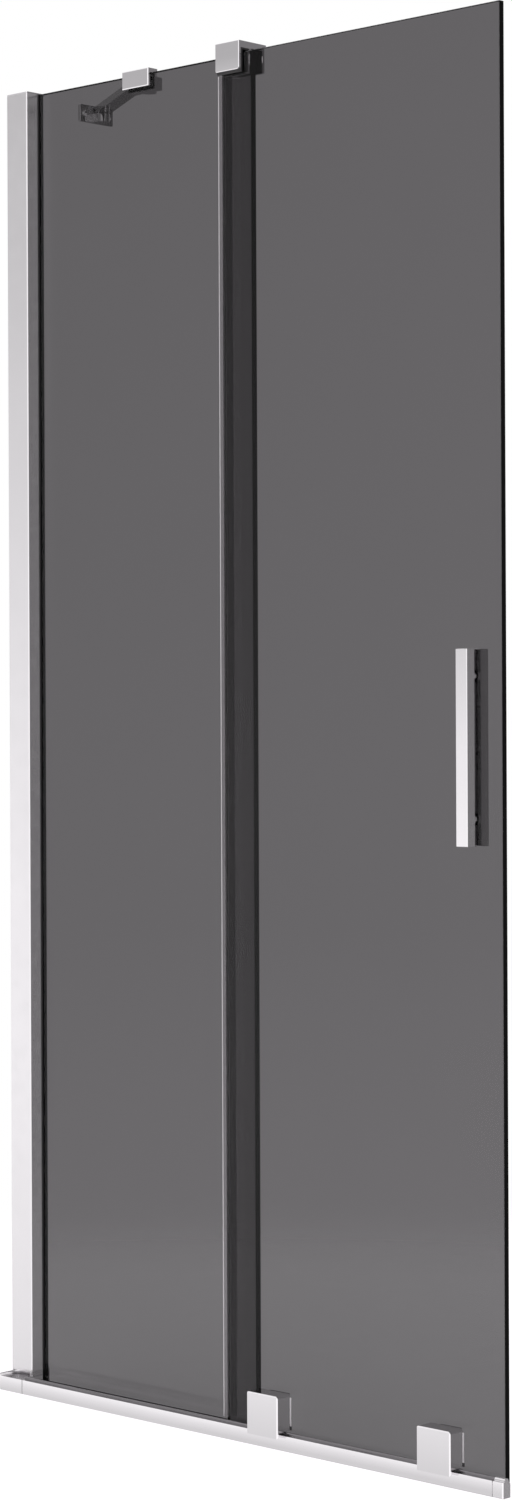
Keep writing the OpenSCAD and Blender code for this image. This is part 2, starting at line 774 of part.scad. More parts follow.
// A shoulder screw that holds the arm down on a boss
module pivot_screw(x, y, z0) {
    head_r = pivot_r + 2.5;
    head_h = 1.4;
    crown_r = pivot_r + 1.2;
    crown_h = 0.8;
    socket_r = 1.8;
    head_z0 = arm_z1 + apart;
    color(steel) translate([x, y, 0]) difference() {
        union() {
            translate([0, 0, z0]) cylinder(r = pivot_r - slip, h = head_z0 - z0);
            translate([0, 0, head_z0]) cylinder(r = head_r, h = head_h);
            translate([0, 0, head_z0 + head_h]) cylinder(r1 = head_r, r2 = crown_r, h = crown_h);
        }
        translate([0, 0, head_z0]) cylinder(r = socket_r, h = head_h + crown_h + past, $fn = 6);
    }
}

module arm_pivot_screw() {
    pivot_screw(pivot[0], pivot[1], jaw_z0 + 3);
}

module stabiliser_arm() {
    color(chrome) difference() {
        translate([pivot[0], pivot[1], arm_z0]) rotate(arm_angle) union() {
            cylinder(r = arm_w / 2, h = arm_t);
            translate([arm_len, 0, 0]) cylinder(r = arm_w / 2, h = arm_t);
            translate([0, -arm_w / 2, 0]) cube([arm_len, arm_w, arm_t]);
        }
        for (p = [pivot, far_pivot])
            translate([p[0], p[1], arm_z0 - 1]) cylinder(r = pivot_r + run, h = arm_t + 2);
    }
}

knuckle_h = 10;
bracket_z0 = arm_z0 - apart - knuckle_h;

module bracket_pivot_screw() {
    pivot_screw(far_pivot[0], far_pivot[1], bracket_z0 + 3);
}

module wall_bracket() {
    y = far_pivot[1];
    color(chrome) difference() {
        union() {
            translate([0, y - bracket_w / 2, bracket_z0])
                bevelled([bracket_t, bracket_w, bracket_h], 0.5);
            translate([far_pivot[0], y, bracket_z0]) cylinder(r = boss_r, h = knuckle_h);
            box([bracket_t - 1, y - boss_r, bracket_z0],
                [far_pivot[0], y + boss_r, bracket_z0 + knuckle_h]);
        }
        translate([far_pivot[0], y, bracket_z0 + 3]) cylinder(r = pivot_r, h = bracket_h);
        for (s = [-1, 1]) translate([-1, y + s * bracket_holes / 2, bracket_z0 + bracket_h / 2])
            rotate([0, 90, 0]) {
                cylinder(r = bracket_hole_r, h = bracket_t + 2);
                translate([0, 0, bracket_t - 0.7])
                    cylinder(r1 = bracket_hole_r, r2 = bracket_hole_r + 2, h = 2);
            }
    }
}

/* The sliding panel */

bolt_dx = bolt_pitch / 2;
bolt_drop = 10;
bolt_z = block_top - bolt_drop;
bush_r = glass_hole_r - run;
handle_x = panel_x1 - handle_inset;
handle_points = [for (s = [-1, 1]) [handle_x, handle_z + s * handle_pitch / 2]];
block_points = [for (x = block_x, s = [-1, 1]) [x + s * bolt_dx, bolt_z]];

module sliding_glass() {
    color(smoke) difference() {
        translate([panel_x0, pane_front, panel_foot])
            bevelled([panel_w, glass_t, panel_z1 - panel_foot], arris);
        for (p = concat(block_points, handle_points))
            rod_y(p[0], p[1], pane_front - 1, pane_back + 1, glass_hole_r);
    }
}

// Clear seal on the pane's left edge, with a hollow bulb beyond the edge and a long fin
// that wipes the fixed pane
module edge_seal() {
    x0 = panel_x0 - seal_t;
    y0 = pane_front - seal_t;
    y1 = pane_back + seal_t;
    bulb_x0 = panel_x0 - seal_out;
    bulb_y1 = y0 + 5;
    bulb_r = 1.2;
    fin_y = fixed_front - apart - 0.1;
    fin_t = 0.8;
    fin_lean = 4.7;
    z0 = rib_top + 1;
    z1 = guide_z0 - liner_drop - 1;
    color(clear) translate([0, 0, z0]) linear_extrude(z1 - z0) union() {
        difference() {
            translate([x0, y0]) square([seal_w, y1 - y0]);
            translate([panel_x0, pane_front]) square([seal_w, glass_t]);
            translate([panel_x0 + seal_leg, y0 - past]) square([seal_w, past + seal_t]);
        }
        difference() {
            translate([bulb_x0, y0]) round_rect(seal_out + bulb_r, bulb_y1 - y0, bulb_r);
            translate([bulb_x0 + seal_t, y0 + seal_t])
                square([seal_out - 2 * seal_t, bulb_y1 - y0 - 2 * seal_t]);
            translate([panel_x0, y0 - past]) square([2 * bulb_r, bulb_y1 - y0 + 2 * past]);
        }
        translate([x0 + 1, 0]) polygon([[0, y1 - 0.1], [fin_t, y1 - 0.1],
            [fin_lean + fin_t, fin_y], [fin_lean, fin_y]]);
        translate([x0 + seal_w - seal_t, pane_back]) square([seal_t, 2.2]);
    }
}

// Clear seal under the pane, behind the rail, with two lips that keep the drops off the rim
module drip_seal() {
    w = glass_t + 2 * seal_t;
    color(clear) translate([panel_x0 + 2, pane_front - seal_t, panel_foot - 1]) along_x(panel_w - 4)
        polygon([
            [0, 0], [seal_t, 0], [seal_t + 0.2, -3.4], [seal_t + 0.8, -3.4], [seal_t + 1, 0],
            [w - 1.2, 0], [w + 1.8, -3.4], [w + 2.4, -3.2], [w, 0.4],
            [w, seal_h], [w - seal_t, seal_h], [w - seal_t, 1], [seal_t, 1], [seal_t, seal_h], [0, seal_h]
        ]);
}

/* The roller blocks, drawn round x = 0 */

cover_y0 = pane_front - block_d;
carriage_y1 = pane_front - pad_t;
cover_y1 = carriage_y1 - 0.2;
side_foot = rib_top + 0.6;
inner_w = block_w - 2 * cover_wall;
plate_t = 2.3;
plate_y0 = carriage_y1 - plate_t;
tab_h = 4;
tab_out = 1.2;
carriage_foot = side_foot + 0.4;
boss_deep = 7;

// The cover's outer form: rounded corners, and a bevel round the front
module cover_form() {
    d = cover_y1 - cover_y0;
    h = block_top - skirt_foot;
    c = cover_bevel;
    intersection() {
        translate([-block_w / 2, 0, skirt_foot]) along_y(cover_y0, cover_y1)
            round_rect(block_w, h, cover_r);
        translate([-block_w / 2, cover_y0, skirt_foot]) linear_extrude(h)
            polygon([[c, 0], [block_w - c, 0], [block_w, c], [block_w, d], [0, d], [0, c]]);
        translate([-block_w / 2, cover_y0, skirt_foot]) along_x(block_w)
            polygon([[0, c], [c, 0], [d, 0], [d, h], [c, h], [0, h - c]]);
    }
}

module roller_cover() {
    back = cover_y0 + cover_front;
    color(chrome) difference() {
        cover_form();
        // the front skirt hangs lower than the sides, before the rail
        box([-block_w, back, 0], [block_w, cover_y1 + past, side_foot]);
        box([-inner_w / 2, back, 0], [inner_w / 2, cover_y1 + past, block_top - cover_wall]);
    }
}

// The carriage fills the cover's open back: a plate against the pane, two cheeks and a roof
module carriage() {
    half = inner_w / 2 - run;
    top = block_top - cover_wall - run;
    cheek = 3;
    y0 = cover_y0 + cover_front + apart;
    tab_x = block_w / 2 + tab_out;
    foot = carriage_foot;
    color(black) difference() {
        union() {
            box([-half, plate_y0, foot], [half, carriage_y1, top]);
            for (s = [0, 1]) mirror([s, 0, 0]) {
                box([half - cheek, y0, foot], [half, plate_y0 + 0.1, top]);
                // finger that meets the stop on the rail
                box([finger_x, stop_y0 + 0.2, rail_h + 0.4],
                    [finger_x + finger_w, stop_y1, foot + 8]);
            }
            box([-half, y0, top - 2.5], [half, plate_y0 + 0.1, top]);
            // foot that rests on the pane and shows as a small tab at each side
            box([-tab_x, carriage_y1 - 0.1, foot], [tab_x, pane_front, foot + tab_h]);
            for (s = [-1, 1])
                rod_y(s * bolt_dx, bolt_z, plate_y0 - boss_deep, plate_y0 + 0.1, bolt_r + 1.2);
        }
        rod_y(0, axle_z, wheel_w / 2, pane_front + past, axle_r);
        for (s = [-1, 1])
            rod_y(s * bolt_dx, bolt_z, plate_y0 - boss_deep - past, pane_front + past, bolt_r);
    }
}

clip_y1 = -wheel_w / 2 - apart;

module axle() {
    color(steel) difference() {
        union() {
            rod_y(0, axle_z, clip_y1 - 2, carriage_y1 - 0.1, axle_r - 0.01);
            rod_y(0, axle_z, clip_y1 - 2.6, clip_y1 - 1.9, axle_r - 0.6);
        }
        // groove for the retaining clip
        difference() {
            rod_y(0, axle_z, clip_y1 - 1, clip_y1, axle_r + 1);
            rod_y(0, axle_z, clip_y1 - 2, clip_y1 + 1, axle_r - 0.6);
        }
    }
}

// A spring clip with two ears that sits in the axle's groove
module axle_clip() {
    translate([0, clip_y1 - 0.1, axle_z]) rotate([90, 0, 0]) linear_extrude(0.8) difference() {
        circle(axle_r + 1.8);
        circle(axle_r - 0.55);
        translate([-1.2, -axle_r - 3]) square([2.4, axle_r + 3]);
    }
}

module axle_clips() {
    color(steel) for (x = block_x) translate([x, 0, 0]) axle_clip();
}

module bearing(x) {
    ring_t = 1.2;
    shield_deep = 0.4;
    color(steel) translate([x, bearing_w / 2, axle_z]) rotate([90, 0, 0]) rotate_extrude() difference() {
        translate([axle_r + 0.04, 0]) square([bearing_r - axle_r - 0.04, bearing_w]);
        // the recess that shows the two rings and the shield between them
        for (y = [-past, bearing_w - shield_deep]) translate([axle_r + ring_t, y])
            square([bearing_r - axle_r - 2 * ring_t, past + shield_deep]);
    }
}

// The grooved tyre that rides on the rib
module wheel(x) {
    w = wheel_w / 2;
    g = rib_r + 0.15;
    rim = wheel_r + flange_h;
    color(nylon) translate([x, 0, axle_z]) rotate([90, 0, 0]) rotate_extrude() polygon([
        [bearing_r, -w + 0.6], [bearing_r + 1, -w + 0.6], [bearing_r + 1.4, -w], [rim - 0.3, -w],
        [rim, -w + 0.3], [rim, -g - 0.8], [wheel_r, -g], [wheel_r, g], [rim, g + 0.8],
        [rim, w - 0.3], [rim - 0.3, w], [bearing_r + 1.4, w], [bearing_r + 1, w - 0.6],
        [bearing_r, w - 0.6]
    ]);
}

module roller_cover_left() {
    translate([block_x[0], 0, 0]) roller_cover();
}

module roller_cover_right() {
    translate([block_x[1], 0, 0]) roller_cover();
}

module carriage_left() {
    translate([block_x[0], 0, 0]) carriage();
}

module carriage_right() {
    translate([block_x[1], 0, 0]) carriage();
}

module axle_left() {
    translate([block_x[0], 0, 0]) axle();
}

module axle_right() {
    translate([block_x[1], 0, 0]) axle();
}

module wheel_left() {
    wheel(block_x[0]);
}

module wheel_right() {
    wheel(block_x[1]);
}

module bearing_left() {
    bearing(block_x[0]);
}

module bearing_right() {
    bearing(block_x[1]);
}

// A clear pad in front of the pane and one behind it, at each block
module block_pads() {
    half = block_w / 2 + 0.8;
    z0 = carriage_foot + tab_h + fit;
    color(clear) for (x = block_x) difference() {
        union() {
            box([x - half, carriage_y1, z0], [x + half, pane_front, block_top - 4]);
            box([x - back_w / 2, pane_back, bolt_z - back_h / 2],
                [x + back_w / 2, pane_back + pad_t, bolt_z + back_h / 2]);
        }
        for (s = [-1, 1]) rod_y(x + s * bolt_dx, bolt_z, carriage_y1 - 1, pane_back + 2, glass_hole_r);
    }
}

sink_h = 2;

module block_back_plates() {
    y = pane_back + pad_t;
    color(chrome) for (x = block_x) difference() {
        translate([x - back_w / 2, y, bolt_z - back_h / 2]) bevelled([back_w, back_t, back_h], 0.5);
        for (s = [-1, 1]) {
            rod_y(x + s * bolt_dx, bolt_z, y - 1, y + back_t + 1, bolt_r + fit);
            translate([x + s * bolt_dx, y + back_t + skin, bolt_z]) rotate([90, 0, 0])
                cylinder(r1 = bolt_r + sink_h + fit, r2 = bolt_r + fit, h = sink_h);
        }
    }
}

module block_bolts() {
    y1 = pane_back + pad_t + back_t;
    color(steel) for (p = block_points) difference() {
        union() {
            rod_y(p[0], p[1], plate_y0 - boss_deep + 0.5, y1 - sunk, bolt_r - slip);
            translate([p[0], y1 - sunk, p[1]]) rotate([90, 0, 0])
                cylinder(r1 = bolt_r + sink_h, r2 = bolt_r - slip, h = sink_h);
        }
        translate([p[0], y1 + sunk, p[1]]) rotate([90, 0, 0]) cylinder(r = 2, h = 2, $fn = 6);
    }
}

// Nylon sleeves that keep the bolts off the glass
module glass_bushes() {
    color(nylon) for (p = concat(block_points, handle_points)) difference() {
        rod_y(p[0], p[1], pane_front, pane_back, bush_r);
        rod_y(p[0], p[1], pane_front - 1, pane_back + 1, bolt_r + run);
    }
}

/* The handle */

outer_y1 = pane_front - handle_gap;
inner_y0 = pane_back + handle_gap;
stud_depth = 7;

module handle_bar(y) {
    difference() {
        translate([handle_x - handle_w / 2, y, handle_z - handle_h / 2])
            bevelled([handle_w, handle_d, handle_h], handle_bevel);
        for (p = handle_points)
            rod_y(p[0], p[1], outer_y1 - stud_depth, inner_y0 + stud_depth, bolt_r);
    }
}

module handle_outer() {
    color(chrome) handle_bar(outer_y1 - handle_d);
}

module handle_inner() {
    color(chrome) handle_bar(inner_y0);
}

module handle_standoffs() {
    color(chrome) for (p = handle_points, y = [outer_y1, pane_back]) difference() {
        rod_y(p[0], p[1], y, y + handle_gap, standoff_r);
        rod_y(p[0], p[1], y - 1, y + handle_gap + 1, bolt_r + run);
    }
}

module handle_studs() {
    color(steel) for (p = handle_points)
        rod_y(p[0], p[1], outer_y1 - stud_depth + 0.5, inner_y0 + stud_depth - 0.5, bolt_r - slip);
}

wall_channel();
wall_profile();
profile_cap();
profile_screws();
profile_screw_covers();
gasket_front_strip();
gasket_rear_strip();
fixed_glass();
foot_channel();
setting_blocks();
bottom_rail();
running_rib();
rail_end_left();
rail_end_right();
rail_stop_left();
rail_stop_right();
top_guide();
guide_liner();
guide_pads();
guide_screws();
stabiliser_clamp();
clamp_pads();
clamp_screws();
arm_pivot_screw();
stabiliser_arm();
bracket_pivot_screw();
wall_bracket();
sliding_glass();
edge_seal();
drip_seal();
roller_cover_left();
roller_cover_right();
carriage_left();
carriage_right();
axle_left();
axle_right();
axle_clips();
block_pads();
block_back_plates();
block_bolts();
glass_bushes();
wheel_left();
wheel_right();
bearing_left();
bearing_right();
handle_outer();
handle_inner();
handle_standoffs();
handle_studs();
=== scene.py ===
import json
import math

import bpy
from mathutils import Matrix, Vector


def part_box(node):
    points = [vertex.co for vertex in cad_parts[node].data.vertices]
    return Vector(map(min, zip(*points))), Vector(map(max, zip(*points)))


# A sliding bath screen on a plain pale floor, seen closed, from the room side.
# Lengths are in metres and colours are linear.

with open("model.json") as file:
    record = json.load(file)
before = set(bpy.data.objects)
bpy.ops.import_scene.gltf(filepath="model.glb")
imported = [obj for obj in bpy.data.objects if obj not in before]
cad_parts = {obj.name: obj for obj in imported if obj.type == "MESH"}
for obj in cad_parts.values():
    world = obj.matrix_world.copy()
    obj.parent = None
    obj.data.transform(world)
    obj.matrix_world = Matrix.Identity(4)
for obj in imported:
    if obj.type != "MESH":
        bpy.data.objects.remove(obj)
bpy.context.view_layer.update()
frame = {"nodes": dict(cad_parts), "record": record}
nodes = frame["nodes"]
scene = bpy.context.scene


# Node helpers

class Tree:
    """A short way to write a node tree: add() makes a node, sets its values and links its
    inputs."""

    def __init__(self, node_tree):
        self.tree = node_tree
        self.tree.nodes.clear()

    def add(self, kind, settings=None, **inputs):
        node = self.tree.nodes.new("ShaderNode" + kind)
        for key, value in (settings or {}).items():
            setattr(node, key, value)
        for key, value in inputs.items():
            index = key[3:] if key.startswith("in_") else key.replace("_", " ")
            socket = node.inputs[int(index)] if index.isdigit() else node.inputs[index]
            if isinstance(value, bpy.types.NodeSocket):
                self.tree.links.new(value, socket)
            else:
                socket.default_value = value
        return node

    def ramp(self, factor, stops):
        node = self.add("ValToRGB", Fac=factor)
        elements = node.color_ramp.elements
        while len(elements) < len(stops):
            elements.new(0.5)
        for element, (position, colour) in zip(elements, stops):
            element.position = position
            grey = not isinstance(colour, tuple)
            element.color = (colour,) * 3 + (1,) if grey else colour + (1,)
        return node.outputs["Color"]

    def span(self, value, low, high, to_low=0.0, to_high=1.0, smooth=True):
        settings = {"interpolation_type": "SMOOTHSTEP" if smooth else "LINEAR"}
        node = self.add("MapRange", settings, Value=value, From_Min=low, From_Max=high,
                        To_Min=to_low, To_Max=to_high)
        return node.outputs["Result"]

    def vary(self, noise, low, high, start=0.3, end=0.7):
        """A value that follows the noise from low to high."""
        return self.span(noise, start, end, low, high)

    def mottle(self, noise, low, high, start=0.3, end=0.7):
        """A colour that follows the noise from low to high."""
        return self.ramp(noise, [(start, low), (end, high)])

    def maths(self, operation, a, b):
        return self.add("Math", {"operation": operation}, in_0=a, in_1=b).outputs[0]

    def noise(self, vector, scale, detail, stretch=None):
        if stretch:
            vector = self.add("Mapping", Vector=vector, Scale=stretch).outputs[0]
        node = self.add("TexNoise", Vector=vector, Scale=scale, Detail=detail)
        return node.outputs["Fac"]

    def blend(self, factor, first, second):
        """The first colour where the factor is 0, the second where it is 1."""
        node = self.add("Mix", {"data_type": "RGBA"}, Factor=factor, in_6=first, in_7=second)
        return node.outputs[2]

    def filtered(self, colour, by):
        return self.add("VectorMath", {"operation": "MULTIPLY"}, in_0=colour, in_1=by).outputs[0]

    def axes(self, vector):
        return self.add("SeparateXYZ", Vector=vector).outputs


def material(name):
    made = bpy.data.materials.new(name)
    made.use_nodes = True
    t = Tree(made.node_tree)
    place = t.add("TexCoord").outputs["Object"]
    return made, t, place


def surface(t, shader, volume=None):
    out = t.add("OutputMaterial", Surface=shader.outputs[0])
    if volume:
        t.tree.links.new(volume.outputs[0], out.inputs["Volume"])


# Materials

TENTH = 0.0001                  # a tenth of a millimetre


def middle_height(node):
    low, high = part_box(node)
    return (low.z + high.z) / 2


CHROME_LOW, CHROME_HIGH = (0.864, 0.855, 0.864), (0.890, 0.881, 0.890)
CHROME_RIPPLE = 0.00012

# The rail and its two end pieces share one crowned front face. The hollow in the left end
# piece lies behind that face, and its floor is level with the rail's top.
RAIL_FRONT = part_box("bottom_rail")[0].y
RAIL_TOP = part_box("bottom_rail")[1].z
RAIL_MIDDLE = middle_height("bottom_rail")
RAIL_CROWN = 0.12
# The hollow's floor is painted this darker grey: painted shade.
HOLLOW_FLOOR_SHADE = (0.42, 0.405, 0.42, 1)
HOLLOW_ROUGHER = 0.22


def chrome(name, crown_middle=None, crown_radius=None, rough_low=0.035, rough_high=0.085,
           shade=1.0, metal=1.0, hollow=False):
    """Polished chrome. The plating is a little uneven, and a crowned face bulges slightly around
    its middle height. A shade under 1 darkens its tint as painted shade, and metal under 1 makes
    it less of a mirror. The hollow isn't crowned and is less polished, and its floor is painted
    darker as painted shade."""
    made, t, place = material(name)
    low, high = [tuple(shade * part for part in colour) for colour in (CHROME_LOW, CHROME_HIGH)]
    tint = t.mottle(t.noise(place, scale=6, detail=2), low, high)
    smears = t.noise(place, scale=55, detail=4)
    rough = t.vary(smears, rough_low, rough_high, start=0.35, end=0.75)
    ripple = t.noise(place, scale=14, detail=2)
    height = t.maths("MULTIPLY", ripple, CHROME_RIPPLE)
    if crown_middle is not None:
        z = t.axes(place)["Z"]
        if hollow:
            z = t.maths("MINIMUM", z, RAIL_TOP)
        off = t.maths("SUBTRACT", z, crown_middle)
        square = t.maths("MULTIPLY", off, off)
        bulge = t.maths("MULTIPLY", square, -0.5 / crown_radius)
        height = t.maths("ADD", height, bulge)
    if hollow:
        parts = t.axes(place)
        y, z = parts["Y"], parts["Z"]
        above = t.span(z, RAIL_TOP - 2 * TENTH, RAIL_TOP - TENTH)
        behind = t.span(y, RAIL_FRONT + TENTH, RAIL_FRONT + 2 * TENTH)
        level = t.span(z, RAIL_TOP + 4 * TENTH, RAIL_TOP + TENTH)
        inside = t.maths("MULTIPLY", above, behind)
        floor = t.maths("MULTIPLY", inside, level)
        # The darker tint of the hollow's floor is painted shade; the rest of the hollow is only
        # rougher.
        tint = t.blend(floor, tint, HOLLOW_FLOOR_SHADE)
        rough = t.maths("ADD", rough, t.maths("MULTIPLY", inside, HOLLOW_ROUGHER))
    bump = t.add("Bump", Strength=1.0, Distance=1.0, Height=height)
    shader = t.add("BsdfPrincipled", Base_Color=tint, Metallic=metal, Roughness=rough,
                   Normal=bump.outputs[0])
    surface(t, shader)
    return made


def brushed(name, low, high, stretch, rough_low, rough_high):
    """Metal with fine drawn lines along one axis."""
    made, t, place = material(name)
    lines = t.noise(place, scale=900, detail=3, stretch=stretch)
    bump = t.add("Bump", Strength=0.25, Distance=TENTH, Height=lines)
    shader = t.add("BsdfPrincipled", Base_Color=t.mottle(lines, low, high), Metallic=1.0,
                   Roughness=t.vary(lines, rough_low, rough_high), Normal=bump.outputs[0])
    surface(t, shader)
    return made


GLASS_IOR = 1.28
GLASS_COLOUR = (0.012, 0.0, 0.012, 1.0)
GLASS_DENSITY = 145.5
GLASS_WAVES = 0.00006
GLASS_CLEAN, GLASS_FILM = (1.0, 1.0, 1.0), (0.985, 0.985, 0.985)
BLACK_EDGE_LOW, BLACK_EDGE_HIGH = (0.002, 0.002, 0.002), (0.005, 0.005, 0.005)
EDGE_FACE = TENTH               # depth of the painted black, a painted shade, that takes in the pane's edge faces only
EDGE_AND_BEVELS = 0.0006        # the same with the bevels beside them
BLACK_BAND = 0.0005                 # how far the fixed pane's black band, painted shade, passes its gasket


def tinted_glass(name, node, black_edge_depth, black_band_end=None):
    """Grey glass, coloured through its whole thickness. The surface has the long, faint waves that
    toughening leaves, and a thin film of dried water. Its edges are matt and painted black to the
    given depth, and so is a band up to the given end beside the gasket: painted shade."""
    made, t, place = material(name)
    film = t.noise(place, scale=9, detail=5)
    tint = t.mottle(film, GLASS_CLEAN, GLASS_FILM, start=0.4, end=0.9)
    waves = t.noise(place, scale=4, detail=1)
    height = t.maths("MULTIPLY", waves, GLASS_WAVES)
    bump = t.add("Bump", Strength=1.0, Distance=1.0, Height=height)
    polished = t.add("BsdfPrincipled", Base_Color=tint, Roughness=0.0, IOR=GLASS_IOR,
                     Transmission_Weight=1.0, Normal=bump.outputs[0])

    low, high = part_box(node)
    parts = t.axes(place)
    x, z = parts["X"], parts["Z"]
    left_end = low.x + black_edge_depth if black_band_end is None else black_band_end
    beside = t.maths("MAXIMUM", t.maths("GREATER_THAN", x, high.x - black_edge_depth),
                     t.maths("LESS_THAN", x, left_end))
    ends = t.maths("MAXIMUM", t.maths("GREATER_THAN", z, high.z - black_edge_depth),
                   t.maths("LESS_THAN", z, low.z + black_edge_depth))
    edge = t.maths("MAXIMUM", beside, ends)
    # The black of the edges and of the band is painted shade.
    edge_grain = t.noise(place, scale=1500, detail=2)
    black_edge = t.add("BsdfPrincipled", Base_Color=t.mottle(edge_grain, BLACK_EDGE_LOW, BLACK_EDGE_HIGH),
                   Roughness=t.vary(edge_grain, 0.4, 0.55), Specular_IOR_Level=0.06)
    shader = t.add("MixShader", Fac=edge, in_1=polished.outputs[0], in_2=black_edge.outputs[0])
    inside = t.add("VolumeAbsorption", Color=GLASS_COLOUR, Density=GLASS_DENSITY)
    surface(t, shader, inside)
    return made


PLASTIC_CLEAR, PLASTIC_WHITE = (0.985, 0.98, 0.985, 1.0), (0.85, 0.835, 0.85, 1.0)
# The base whiteness is the plastic's own; the whiteness at the edges and at the front left corner
# is painted highlight.
SEAL_MILK, SEAL_EDGE_HIGHLIGHT = 0.03, 0.95
PAD_MILK, PAD_EDGE_HIGHLIGHT = 0.8, 0.9
CORNER_WIDTH = 0.0018
CORNER_DEPTH = 0.0009
CORNER_HIGHLIGHT = 0.6


def clear_plastic(name, milk, edge_highlight, corner=None):
    """The clear extruded plastic of the seals and pads: thin, so it bends no light, a little
    cloudy, and painted whiter where its surface turns away and at its front left corner, as painted
    highlights. Fine drawn lines run along it."""
    made, t, place = material(name)
    lines = t.noise(place, scale=500, detail=2, stretch=(1.0, 1.0, 0.03))
    bump = t.add("Bump", Strength=0.3, Distance=TENTH, Height=lines)
    clear = t.add("BsdfTransparent", Color=PLASTIC_CLEAR)
    white = t.add("BsdfPrincipled", Base_Color=PLASTIC_WHITE,
                  Roughness=t.vary(lines, 0.08, 0.2), Normal=bump.outputs[0])
    turned = t.add("LayerWeight", Blend=0.5).outputs["Facing"]
    # Whiter where the surface turns away: painted highlight.
    milk_and_highlight = t.span(turned, 0.34, 0.62, milk, edge_highlight)
    if corner is not None:
        parts = t.axes(place)
        x_end, y_end = corner.x + CORNER_WIDTH, corner.y + CORNER_DEPTH
        left = t.span(parts["X"], x_end, x_end - 4 * TENTH)
        front = t.span(parts["Y"], y_end, y_end - 2 * TENTH, 0.0, CORNER_HIGHLIGHT)
        milk_and_highlight = t.maths("MAXIMUM", milk_and_highlight, t.maths("MULTIPLY", left, front))
    shader = t.add("MixShader", Fac=milk_and_highlight, in_1=clear.outputs[0], in_2=white.outputs[0])
    surface(t, shader)
    return made


def matt(name, low, high, grain, rough_low, rough_high, depth, specular=0.5):
    """Rubber and moulded plastic: a fine grain, a slightly mottled colour."""
    made, t, place = material(name)
    patches = t.noise(place, scale=grain * 0.08, detail=4)
    fine = t.noise(place, scale=grain, detail=2)
    bump = t.add("Bump", Strength=0.5, Distance=depth, Height=fine)
    shader = t.add("BsdfPrincipled", Base_Color=t.mottle(patches, low, high, start=0.35),
                   Roughness=t.vary(fine, rough_low, rough_high),
                   Specular_IOR_Level=specular, Normal=bump.outputs[0])
    surface(t, shader)
    return made


# One material for each slot of the record, and a variant of it for some nodes
slots = {
    "chrome": chrome("chrome"),
    "satin_aluminium": brushed("satin_aluminium", (0.62, 0.62, 0.64), (0.74, 0.74, 0.76),
                               stretch=(1.0, 1.0, 0.02), rough_low=0.28, rough_high=0.42),
    "steel": brushed("steel", (0.52, 0.53, 0.55), (0.68, 0.69, 0.71),
                     stretch=(1.0, 0.05, 1.0), rough_low=0.2, rough_high=0.34),
    "smoke_glass": tinted_glass("smoke_glass", "sliding_glass", EDGE_FACE),
    "black_rubber": matt("black_rubber", (0.0085, 0.008, 0.0085), (0.017, 0.016, 0.017),
                         grain=900, rough_low=0.5, rough_high=0.68, depth=TENTH,
                         specular=0.25),
    "clear_seal": clear_plastic("clear_seal", SEAL_MILK, SEAL_EDGE_HIGHLIGHT),
    "black_plastic": matt("black_plastic", (0.0155, 0.015, 0.0155), (0.031, 0.0295, 0.031),
                          grain=1400, rough_low=0.32, rough_high=0.48, depth=0.00006),
    "nylon": matt("nylon", (0.74, 0.735, 0.71), (0.82, 0.815, 0.79),
                  grain=1100, rough_low=0.34, rough_high=0.5, depth=0.00008),
}
special = {
    # Its edges, bevels and a band past its gasket are painted black: painted shade.
    "fixed_glass": tinted_glass("fixed_smoke_glass", "fixed_glass", EDGE_AND_BEVELS,
                                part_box("gasket_front_strip")[1].x + BLACK_BAND),
    # The rib is painted darker than the steel slot: painted shade.
    "running_rib": brushed("steel_rib_painted_shade", (0.25, 0.242, 0.25), (0.31, 0.3, 0.31),
                           stretch=(0.02, 1.0, 1.0), rough_low=0.26, rough_high=0.36),
    "block_pads": clear_plastic("clear_pad", PAD_MILK, PAD_EDGE_HIGHLIGHT),
    "edge_seal": clear_plastic("clear_edge_seal", SEAL_MILK, SEAL_EDGE_HIGHLIGHT,
                               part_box("edge_seal")[0]),
    "wall_profile": chrome("chrome_profile", rough_low=0.14, rough_high=0.22, metal=0.88),
    "bottom_rail": chrome("chrome_rail", RAIL_MIDDLE, RAIL_CROWN),
    "rail_end_left": chrome("chrome_end", RAIL_MIDDLE, RAIL_CROWN, hollow=True),
    "rail_end_right": chrome("chrome_end_right", RAIL_MIDDLE, RAIL_CROWN, metal=0.8),
    "roller_cover_left": chrome("chrome_block", middle_height("roller_cover_left"),
                                crown_radius=1.2),
    "handle_outer": chrome("chrome_handle", middle_height("handle_outer"),
                           crown_radius=2.6, metal=0.88),
    "top_guide": chrome("chrome_guide", middle_height("top_guide"), crown_radius=0.5),
    # The arm and its bracket are chrome painted darker: painted shade.
    "stabiliser_arm": chrome("chrome_arm_painted_shade", shade=0.62),
}
special["roller_cover_right"] = special["roller_cover_left"]
special["wall_bracket"] = special["stabiliser_arm"]

for row in frame["record"]["subparts"]:
    thing = nodes[row["node"]]
    finish = special.get(row["node"], slots[row["material_slot"]])
    if not thing.material_slots:
        thing.data.materials.append(finish)
    for slot in thing.material_slots:
        slot.material = finish


# Stage

FLOOR_MIDDLE = Vector((0.375, 0.0, -0.0004))
FLOOR_RADIUS = 1.7
FLOOR_RINGS, FLOOR_SPOKES = 24, 96
FLOOR_FADE = (0.9, 1.65)        # from where to where it fades out
FLOOR_GLOW, FLOOR_GLOW_PAST_GLASS = 0.9, 0.38
GLOW_COLOUR = (1.0, 0.975, 1.0, 1.0)


